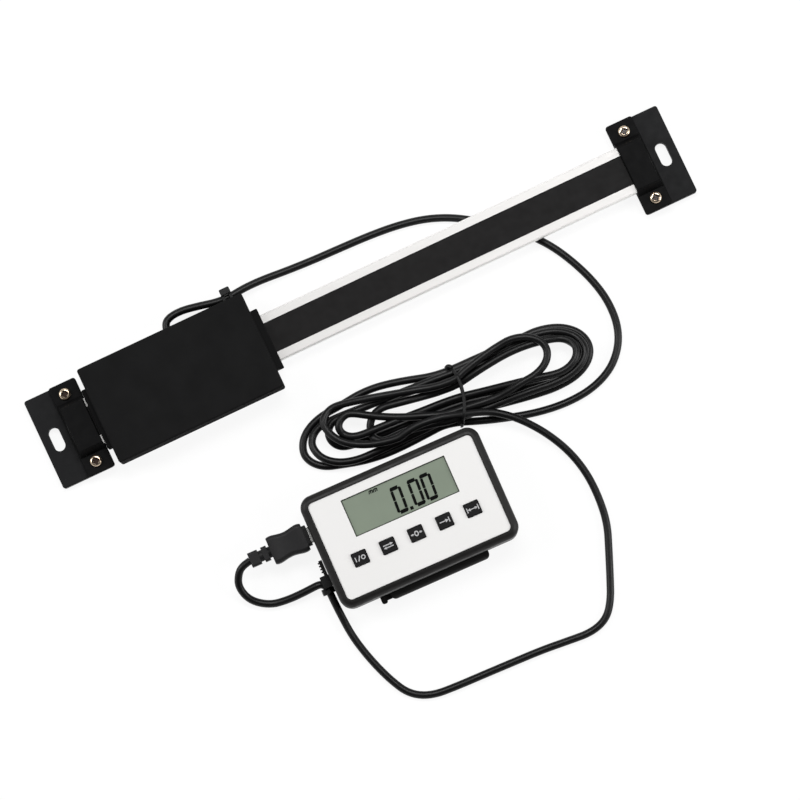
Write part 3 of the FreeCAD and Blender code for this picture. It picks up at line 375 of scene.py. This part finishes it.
def make_tie(points):
    loop = tie_loop(points)
    made = bmesh.new()
    rings = []
    for before, (y, z), after in zip(np.roll(loop, 1, axis=0), loop, np.roll(loop, -1, axis=0)):
        along = Vector(after - before).normalized()
        out_y, out_z = along.y, -along.x
        ring = []
        for c, s in circle(TIE_SECTION_STEPS):
            x = tie_x(y) + TIE_HALF_WIDTH * c
            out = TIE_HALF_THICK * s
            ring.append(made.verts.new(hank_to_part(x, y + out * out_y, z + out * out_z) * MM))
        rings.append(ring)
    for ring, following in zip(rings, rings[1:] + rings[:1]):
        for k in range(TIE_SECTION_STEPS):
            m = (k + 1) % TIE_SECTION_STEPS
            made.faces.new((ring[k], ring[m], following[m], following[k])).smooth = True
    strip = link("tie_strip", finished("tie_strip", made), "readout")
    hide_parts("hank_tie")
    ends = tube_curve("tie_ends", [[hank_to_part(*p) for p in end] for end in TIE_ENDS], TIE_END_D)
    return [strip, link("tie_ends", ends, "readout")]


def finished(name, made):
    """Mesh of these faces, with their normals outwards."""
    bmesh.ops.recalc_face_normals(made, faces=made.faces)
    mesh = bpy.data.meshes.new(name)
    made.to_mesh(mesh)
    made.free()
    return mesh


def tube_curve(name, splines, diameter):
    """Round tubes along smooth splines. Each point's radius is the tube's, so the curve's box is true."""
    curve = bpy.data.curves.new(name, "CURVE")
    curve.dimensions = "3D"
    curve.bevel_depth = 1.0
    curve.bevel_resolution = TUBE_ROUND_STEPS
    curve.use_fill_caps = True
    for points in splines:
        spline = curve.splines.new("NURBS")
        spline.points.add(len(points) - 1)
        for slot, point in zip(spline.points, points):
            slot.co = (*(point * MM), 1)
            slot.radius = diameter / 2 * MM
        spline.order_u = 3
        spline.use_endpoint_u = True
        spline.resolution_u = TUBE_LONG_STEPS
    return curve


def make_cable():
    points = cable_points()
    cable = link("cable", tube_curve("cable", [points], CABLE_D), "readout")
    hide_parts("cable_head_lead", "cable_beam_span", "cable_hank_lead", "cable_hank",
                "cable_loop", "cable_plug_lead")
    tie = make_tie(points)
    cable.data.materials.append(cable_jacket())
    for piece in tie:
        piece.data.materials.append(tie_plastic())


def link(name, data, body):
    """A new piece from this mesh or curve, riding on a body."""
    piece = bpy.data.objects.new(name, data)
    SCENE.collection.objects.link(piece)
    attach(piece, body)
    return piece


def display_to_part(x, y, z):
    return (DISPLAY_ORIGIN + turned(x, y, z, DISPLAY_TURN)) * MM


def ink_and_shade_mesh(name, outlines, z):
    """Flat shapes on the display's face, a little raised, each given by its outline: lit segments, printed
    signs, and the painted shadow line round the screen.
    """
    made = bmesh.new()
    for outline in outlines:
        lower = [made.verts.new(display_to_part(x, y, z)) for x, y in outline]
        upper = [made.verts.new(display_to_part(x, y, z + INK_AND_SHADE_HEIGHT)) for x, y in outline]
        made.faces.new(upper)
        made.faces.new(lower[::-1])
        for i in range(len(outline)):
            k = (i + 1) % len(outline)
            made.faces.new((lower[i], lower[k], upper[k], upper[i]))
    return finished(name, made)


def bar(x0, y0, x1, y1, width):
    """Outline of a straight stroke with square ends."""
    along = Vector((x1 - x0, y1 - y0)).normalized() * width / 2
    across = Vector((-along.y, along.x))
    a, b = Vector((x0, y0)), Vector((x1, y1))
    return [tuple(a - across), tuple(b - across), tuple(b + across), tuple(a + across)]


def box_outline(x, y, half_x, half_y):
    """Outline of a box round this middle."""
    return [(x - half_x, y - half_y), (x + half_x, y - half_y),
            (x + half_x, y + half_y), (x - half_x, y + half_y)]


def ring_sign(x, y, radius, width):
    """Outlines of a round stroke, as short pieces."""
    pieces = []
    for k in range(ARC_STEPS):
        corners = []
        for r, turn in ((radius - width / 2, k), (radius + width / 2, k),
                        (radius + width / 2, k + 1), (radius - width / 2, k + 1)):
            angle = math.tau * turn / ARC_STEPS
            corners.append((x + r * math.cos(angle), y + r * math.sin(angle)))
        pieces.append(corners)
    return pieces


def digit_zero(x):
    """Six lit segments of a zero that leans to the right. Its lower half is the upper one, turned."""
    w, h, t, thick, g = DIGIT_HALF_X, DIGIT_HALF_Y, DIGIT_STROKE, DIGIT_BAR, DIGIT_GAP
    middle, inner, last, under = w - t / 2, w - t, w - t + g, h - thick
    right = [(inner, 3 * g), (inner, h - 0.6 * thick), (middle, h - 0.5 * thick), (w, h - 0.8 * thick),
             (w, 4 * g), (middle, g)]
    left = [(-w, 4 * g), (-w, under - 4 * g), (-middle, under - g), (-inner, under - 3 * g),
            (-inner, 3 * g), (-middle, g)]
    across = [(-w + g, under + 2 * g), (-w + g, h - 0.4 * thick), (-middle, h), (last - 2 * g, h),
              (last, h - 2 * g), (last - 2 * g, under + 2 * g), (last - 0.6 * t, under),
              (-w + 0.4 * t, under)]
    outlines = []
    for turn in (1, -1):
        for outline in (right, left, across):
            outlines.append([(px * turn, py * turn) for px, py in outline])
    return [[(x + px + DIGIT_SLANT * py, DIGIT_Y + py) for px, py in outline] for outline in outlines]


def unit_letters():
    """Two small slanted letters m, from straight strokes."""
    width, height, stroke = UNIT_WIDTH, UNIT_HEIGHT, UNIT_STROKE
    outlines = []
    for start in (0, width + UNIT_GAP):
        left = UNIT_X + start
        strokes = [bar(0, height, width, height, stroke)]
        strokes += [bar(k * width / 2, 0, k * width / 2, height, stroke) for k in range(3)]
        for outline in strokes:
            outlines.append([(left + px + UNIT_SLANT * py, UNIT_Y + py) for px, py in outline])
    return outlines


def make_screen():
    outlines = [o for x in DIGIT_X for o in digit_zero(x)]
    outlines.append(box_outline(POINT_X, POINT_Y, POINT_SIZE / 2, POINT_SIZE / 2))
    digits = link("lcd_digits", ink_and_shade_mesh("lcd_digits", outlines, SCREEN_TOP), "readout")
    digits.data.materials.append(flat_ink_and_shade("lcd_ink", LCD_INK, 0.05))
    unit = link("lcd_unit", ink_and_shade_mesh("lcd_unit", unit_letters(), SCREEN_TOP), "readout")
    unit.data.materials.append(digits.data.materials[0])
    # Painted shadow: a thin dark line laid round the screen's window, where the faceplate's cut edge shades
    # it
    half_x, half_y, half_line = SCREEN_X / 2, SCREEN_Y / 2, SCREEN_SHADOW_LINE / 2
    rim = []
    for side in (1, -1):
        across = SCREEN_CENTRE_Y + side * (half_y - half_line)
        rim.append(box_outline(0, across, half_x, half_line))
        upright = side * (half_x - half_line)
        rim.append(box_outline(upright, SCREEN_CENTRE_Y, half_line, half_y - SCREEN_SHADOW_LINE))
    shadow_line = link("lcd_painted_shadow_line", ink_and_shade_mesh("lcd_painted_shadow_line", rim, SCREEN_TOP), "readout")
    shadow_line.data.materials.append(flat_ink_and_shade("lcd_painted_shadow_line", LCD_PAINTED_SHADOW, 0.1))


def arrow_tip(x, y, reach, half):
    """Outline of a triangle whose point is at x + reach."""
    return [(x, y - half), (x + reach, y), (x, y + half)]


def make_legends():
    """A plain sign on each key: off and on, exchange, zero, go to and the distance between two lines."""
    w = LEGEND_STROKE
    signs = [
        [bar(-1.85, -0.9, -1.85, 0.9, w), bar(-0.95, -1.0, 0.05, 1.0, w)] + ring_sign(1.25, 0, 0.72, w),
        [bar(-2.0, 0.52, 1.0, 0.52, w), arrow_tip(0.9, 0.52, 1.2, 0.55),
         bar(2.0, -0.52, -1.0, -0.52, w), arrow_tip(-0.9, -0.52, -1.2, 0.55)],
        [[(x, 1.25 * y) for x, y in piece] for piece in ring_sign(0, 0, 0.68, w)]
        + [bar(-2.3, 0, -1.7, 0, w), arrow_tip(-1.8, 0, 0.8, 0.5),
           bar(2.3, 0, 1.7, 0, w), arrow_tip(1.8, 0, -0.8, 0.5)],
        [bar(-2.0, 0, 0.5, 0, w), arrow_tip(0.4, 0, 1.2, 0.7), bar(1.85, -1.0, 1.85, 1.0, w)],
        [bar(-2.2, -1.0, -2.2, 1.0, w), bar(2.2, -1.0, 2.2, 1.0, w), bar(-1.1, 0, 1.1, 0, w),
         arrow_tip(-1.0, 0, -0.95, 0.6), arrow_tip(1.0, 0, 0.95, 0.6)],
    ]
    ink = flat_ink_and_shade("legend_ink", LEGEND_INK, 0.2)
    for i, sign in enumerate(signs):
        x = (i - 2) * KEY_PITCH
        placed = [[(x + px, KEY_Y + py) for px, py in outline] for outline in sign]
        name = "key_%d_sign" % (i + 1)
        piece = link(name, ink_and_shade_mesh(name, placed, KEY_TOP), "key_%d" % (i + 1))
        piece.data.materials.append(ink)


def new_material(name, colour, roughness, metallic=0.0, specular=0.5):
    material = bpy.data.materials.new(name)
    material.use_nodes = True
    shader = material.node_tree.nodes["Principled BSDF"]
    shader.inputs["Base Color"].default_value = (*colour, 1)
    shader.inputs["Roughness"].default_value = roughness
    shader.inputs["Metallic"].default_value = metallic
    shader.inputs["Specular IOR Level"].default_value = specular
    return material, material.node_tree, shader


def noise(tree, size, stretch=(1, 1, 1), detail=4):
    """Noise whose blots are about this many millimetres across."""
    place = tree.nodes.new("ShaderNodeTexCoord")
    mapping = tree.nodes.new("ShaderNodeMapping")
    mapping.inputs["Scale"].default_value = stretch
    texture = tree.nodes.new("ShaderNodeTexNoise")
    texture.inputs["Scale"].default_value = 1 / (size * MM)
    texture.inputs["Detail"].default_value = detail
    tree.links.new(place.outputs["Object"], mapping.inputs["Vector"])
    tree.links.new(mapping.outputs["Vector"], texture.inputs["Vector"])
    return texture.outputs["Fac"]


def spread(tree, source, low, high, start=0.3, stop=0.7):
    """The source's values between start and stop, spread from low to high."""
    node = tree.nodes.new("ShaderNodeMapRange")
    node.inputs["From Min"].default_value = start
    node.inputs["From Max"].default_value = stop
    node.inputs["To Min"].default_value = low
    node.inputs["To Max"].default_value = high
    tree.links.new(source, node.inputs["Value"])
    return node.outputs["Result"]


def mixed(tree, shader, share, first, second):
    """Base colour that goes from the first to the second as the share goes from 0 to 1."""
    node = tree.nodes.new("ShaderNodeMix")
    node.data_type = "RGBA"
    node.inputs["A"].default_value = (*first, 1)
    node.inputs["B"].default_value = (*second, 1)
    tree.links.new(share, node.inputs["Factor"])
    tree.links.new(node.outputs["Result"], shader.inputs["Base Color"])
    return node


def uneven(tree, shader, source, colour, low, high):
    """Colour that is darker or lighter in patches, by these factors."""
    mixed(tree, shader, spread(tree, source, 0, 1), shade(colour, low), shade(colour, high))


def rough(tree, shader, source, low, high):
    """Roughness between these limits."""
    tree.links.new(spread(tree, source, low, high), shader.inputs["Roughness"])


def bump(tree, shader, source, depth, strength=1.0):
    """Relief of this depth in millimetres."""
    node = tree.nodes.new("ShaderNodeBump")
    node.inputs["Distance"].default_value = depth * MM
    node.inputs["Strength"].default_value = strength
    tree.links.new(source, node.inputs["Height"])
    tree.links.new(node.outputs["Normal"], shader.inputs["Normal"])


def shade(colour, factor):
    return tuple(c * factor for c in colour)


def moulded(name, colour, roughness, specular, grain=0.25, depth=0.012):
    """Moulded or powder-coated surface: fine grain, slightly uneven colour and gloss."""
    material, tree, shader = new_material(name, colour, roughness, specular=specular)
    uneven(tree, shader, noise(tree, MOULDED_PATCH), colour, 0.9, 1.1)
    gloss_patches = noise(tree, MOULDED_GLOSS_PATCH)
    rough(tree, shader, gloss_patches, roughness - MOULDED_GLOSS, roughness + MOULDED_GLOSS)
    bump(tree, shader, noise(tree, grain, detail=2), depth)
    return material


def metal(name, colour, roughness, stretch, grain, depth, metallic=1.0):
    """Metal with fine lines or specks."""
    material, tree, shader = new_material(name, colour, roughness, metallic)
    lines = noise(tree, grain, stretch, detail=6)
    uneven(tree, shader, noise(tree, METAL_PATCH, stretch), colour, 0.97, 1)
    rough(tree, shader, lines, roughness - METAL_GLOSS, roughness + METAL_GLOSS)
    bump(tree, shader, lines, depth)
    return material


def satin_steel():
    """Brushed face, off-white, with painted light: its sides, the faces that do not look straight up, get a
    brighter colour.
    """
    material = metal("satin_steel", BEAM_FACE, 0.45, (0.02, 1, 1), 0.12, 0.0006, metallic=0.5)
    tree = material.node_tree
    shader = tree.nodes["Principled BSDF"]
    place = tree.nodes.new("ShaderNodeTexCoord")
    facing = tree.nodes.new("ShaderNodeSeparateXYZ")
    tree.links.new(place.outputs["Normal"], facing.inputs["Vector"])
    brushed = shader.inputs["Base Color"].links[0].from_socket
    # Painted light: faces turned away from straight up take the brighter side colour
    flat_share = spread(tree, facing.outputs["Z"], 0, 1, 0.8, 0.95)
    colour = mixed(tree, shader, flat_share, BEAM_SIDES_PAINTED_LIGHT, BEAM_FACE)
    tree.links.new(brushed, colour.inputs["B"])
    return material


def flat_ink_and_shade(name, colour, specular):
    material, tree, shader = new_material(name, colour, 0.5, specular=specular)
    uneven(tree, shader, noise(tree, 0.6), colour, 0.9, 1.1)
    bump(tree, shader, noise(tree, 0.15), 0.004)
    return material


def face_film():
    material, tree, shader = new_material("face_film", FILM_WHITE, 0.5, specular=0.3)
    uneven(tree, shader, noise(tree, 25), FILM_WHITE, 0.985, 1)
    rough(tree, shader, noise(tree, 2), 0.44, 0.56)
    bump(tree, shader, noise(tree, 0.3, detail=2), 0.006)
    return material


def lcd_glass():
    material, tree, shader = new_material("lcd_glass", LCD_GREEN, 0.35, specular=0.3)
    uneven(tree, shader, noise(tree, 18), LCD_GREEN, 0.95, 1.06)
    shader.inputs["Coat Weight"].default_value = 0.15
    shader.inputs["Coat Roughness"].default_value = 0.08
    bump(tree, shader, noise(tree, 0.12, detail=2), 0.003)
    return material


def circuit_board():
    material, tree, shader = new_material("circuit_board", BOARD_GREEN, 0.4, specular=0.4)
    tracks = tree.nodes.new("ShaderNodeTexBrick")
    tracks.inputs["Scale"].default_value = 1 / (TRACK_PITCH * MM)
    for name, factor in (("Color1", 1), ("Color2", 0.7), ("Mortar", 1.8)):
        tracks.inputs[name].default_value = (*shade(BOARD_GREEN, factor), 1)
    place = tree.nodes.new("ShaderNodeTexCoord")
    tree.links.new(place.outputs["Object"], tracks.inputs["Vector"])
    tree.links.new(tracks.outputs["Color"], shader.inputs["Base Color"])
    bump(tree, shader, tracks.outputs["Fac"], 0.03)
    return material


def cable_jacket():
    material, tree, shader = new_material("cable_jacket", JACKET_BLACK, 0.4, specular=0.28)
    uneven(tree, shader, noise(tree, 14), JACKET_BLACK, 0.75, 1.3)
    rough(tree, shader, noise(tree, 5), 0.36, 0.44)
    bump(tree, shader, noise(tree, 0.5, detail=3), 0.004)
    return material


def tie_plastic():
    """One plastic for all ties, made the first time that it is asked for."""
    name = "tie_nylon"
    made = bpy.data.materials.get(name)
    return made or moulded(name, TIE_BLACK, 0.4, 0.2, grain=0.6, depth=0.006)


def cross_screw():
    """Plated screw, with painted shade: dull dark brown wherever ambient occlusion finds it sheltered, as in
    its cross.
    """
    material, tree, shader = new_material("zinc_screw", SCREW_BRIGHT, 0.3)
    # Painted shade: sheltered places, such as the cross recess, turn dark brown and lose their metal
    occlusion = tree.nodes.new("ShaderNodeAmbientOcclusion")
    occlusion.inputs["Distance"].default_value = SCREW_SHADE_REACH * MM
    unshaded_share = spread(tree, occlusion.outputs["AO"], 0, 1, 0.75, 0.97)
    mixed(tree, shader, unshaded_share, SCREW_PAINTED_SHADE, SCREW_BRIGHT)
    tree.links.new(unshaded_share, shader.inputs["Metallic"])
    rough(tree, shader, noise(tree, 0.5), 0.16, 0.26)
    bump(tree, shader, noise(tree, 0.4), 0.006)
    return material


def dress_nodes():
    """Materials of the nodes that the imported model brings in."""
    looks = [
        (moulded("head_plastic", (0.0112, 0.0112, 0.0114), 0.9, 0.03),
         ["head_cover", "carriage", "end_guide_left", "end_guide_right"]),
        (moulded("bracket_plastic", (0.0082, 0.0083, 0.009), 0.55, 0.12),
         ["bracket_base_left", "bracket_base_right"]),
        # Straps: the brackets' own black, made darker than the bases' tone as painted shade
        (moulded("strap_plastic_painted_shade", (0.0035, 0.0035, 0.0037), 0.6, 0.08),
         ["clamp_strap_left", "clamp_strap_right"]),
        (moulded("case_plastic", (0.009, 0.0085, 0.0082), 0.45, 0.25),
         ["front_housing", "rear_housing", "battery_cover", "stand"]),
        (moulded("plug_rubber", (0.0125, 0.0122, 0.013), 0.5, 0.2, grain=0.3),
         ["cable_grommet", "plug_strain_relief", "plug_overmould"]),
        (moulded("key_rubber", (0.005, 0.005, 0.0053), 0.5, 0.15), ["key_%d" % i for i in range(1, 6)]),
        (moulded("strip_film", (0.0055, 0.005, 0.0051), 0.5, 0.12, grain=0.8, depth=0.004), ["strip_cover"]),
        (moulded("slide_plastic", (0.55, 0.53, 0.48), 0.4, 0.4), ["slide_pads"]),
        (moulded("zebra_rubber", (0.5, 0.36, 0.4), 0.6, 0.3), ["zebra_strips"]),
        (moulded("chip_black", (0.01, 0.01, 0.011), 0.5, 0.3), ["head_pcb_parts"]),
        (metal("back_plate_metal", (0.72, 0.73, 0.74), 0.38, (1, 1, 1), 0.4, 0.006), ["back_plate"]),
        (metal("spring_steel", (0.62, 0.62, 0.62), 0.3, (0.1, 1, 1), 0.2, 0.003),
         ["gib_spring", "dome_switches", "battery_contacts", "stand_pins"]),
        (metal("plated_steel", (0.8, 0.8, 0.78), 0.28, (1, 1, 1), 0.3, 0.004), ["plug_shell", "usb_socket"]),
        (metal("cell_steel", (0.78, 0.78, 0.77), 0.3, (1, 1, 1), 0.3, 0.004), ["coin_cell"]),
        (satin_steel(), ["beam"]),
        (cross_screw(), ["bracket_screws_left", "bracket_screws_right", "head_screws", "housing_screws"]),
        (tie_plastic(), ["lead_tie", "display_tie"]),
        (circuit_board(), ["encoder_strip", "head_pcb", "display_pcb"]),
        (face_film(), ["faceplate"]),
        (lcd_glass(), ["lcd_panel"]),
    ]
    for material, names in looks:
        for name in names:
            slots = NODES[name].data.materials
            slots.clear()
            slots.append(material)


def seen_rays(tree):
    """1 for rays from the camera, mirrors and glass, 0 for light that bounces off dull surfaces."""
    path = tree.nodes.new("ShaderNodeLightPath")
    total = path.outputs["Is Camera Ray"]
    for name in ("Is Glossy Ray", "Is Transmission Ray"):
        node = tree.nodes.new("ShaderNodeMath")
        node.operation = "MAXIMUM"
        tree.links.new(total, node.inputs[0])
        tree.links.new(path.outputs[name], node.inputs[1])
        total = node.outputs["Value"]
    return total


def stage_white(name, shadow_share, glow):
    """White for the eye, mirrors and glass, with a share that takes shadows, and pale grey for the rest."""
    material = bpy.data.materials.new(name)
    material.use_nodes = True
    tree = material.node_tree
    tree.nodes.clear()
    dull = tree.nodes.new("ShaderNodeBsdfDiffuse")
    dull.inputs["Color"].default_value = (STAGE_GREY,) * 3 + (1,)
    shadow = tree.nodes.new("ShaderNodeBsdfDiffuse")
    shadow.inputs["Color"].default_value = (shadow_share,) * 3 + (1,)
    light = tree.nodes.new("ShaderNodeEmission")
    light.inputs["Strength"].default_value = glow
    both = tree.nodes.new("ShaderNodeAddShader")
    mix = tree.nodes.new("ShaderNodeMixShader")
    out = tree.nodes.new("ShaderNodeOutputMaterial")
    tree.links.new(shadow.outputs["BSDF"], both.inputs[0])
    tree.links.new(light.outputs["Emission"], both.inputs[1])
    tree.links.new(seen_rays(tree), mix.inputs["Fac"])
    tree.links.new(dull.outputs["BSDF"], mix.inputs[1])
    tree.links.new(both.outputs["Shader"], mix.inputs[2])
    tree.links.new(mix.outputs["Shader"], out.inputs["Surface"])
    return material


def make_stage():
    """White floor that keeps a faint shadow, with low white walls far round it."""
    h, low, high = FLOOR_HALF, FLOOR_Z, WALL_HEIGHT
    ring = ((-h, -h), (h, -h), (h, h), (-h, h))
    corners = [(x, y, low) for x, y in ring] + [(x, y, high) for x, y in ring]
    walls = [(i, (i + 1) % 4, 4 + (i + 1) % 4, 4 + i) for i in range(4)]
    white = {"floor": ([(0, 1, 2, 3)], FLOOR_SHADOW, FLOOR_GLOW), "walls": (walls, 0.0, 1.0)}
    for name, (faces, shadow_share, glow) in white.items():
        mesh = bpy.data.meshes.new(name)
        mesh.from_pydata(corners, [], faces)
        mesh.materials.append(stage_white(name, shadow_share, glow))
        piece = bpy.data.objects.new(name, mesh)
        SCENE.collection.objects.link(piece)


def make_world():
    world = bpy.data.worlds.new("world")
    SCENE.world = world
    world.use_nodes = True
    background = world.node_tree.nodes["Background"]
    background.inputs["Color"].default_value = (1, 1, 1, 1)
    background.inputs["Strength"].default_value = WORLD_LIGHT


def make_lamp(name, right, up, height, size, power):
    """Soft lamp above the object, placed in the picture's directions and aimed at its middle."""
    data = bpy.data.lights.new(name, "AREA")
    data.shape = "RECTANGLE"
    data.size, data.size_y = size
    data.energy = power
    lamp = bpy.data.objects.new(name, data)
    SCENE.collection.objects.link(lamp)
    lamp.location = AIM + PICTURE_RIGHT * right + PICTURE_UP * up + Vector((0, 0, height))
    lamp.rotation_mode = "QUATERNION"
    lamp.rotation_quaternion = (AIM - lamp.location).to_track_quat("-Z", "Y")


make_camera()
make_cable()
make_stage()
make_world()
for lamp_name, lamp_values in LAMPS.items():
    make_lamp(lamp_name, *lamp_values)
dress_nodes()
make_screen()
make_legends()
SCENE.view_settings.view_transform = "Standard"
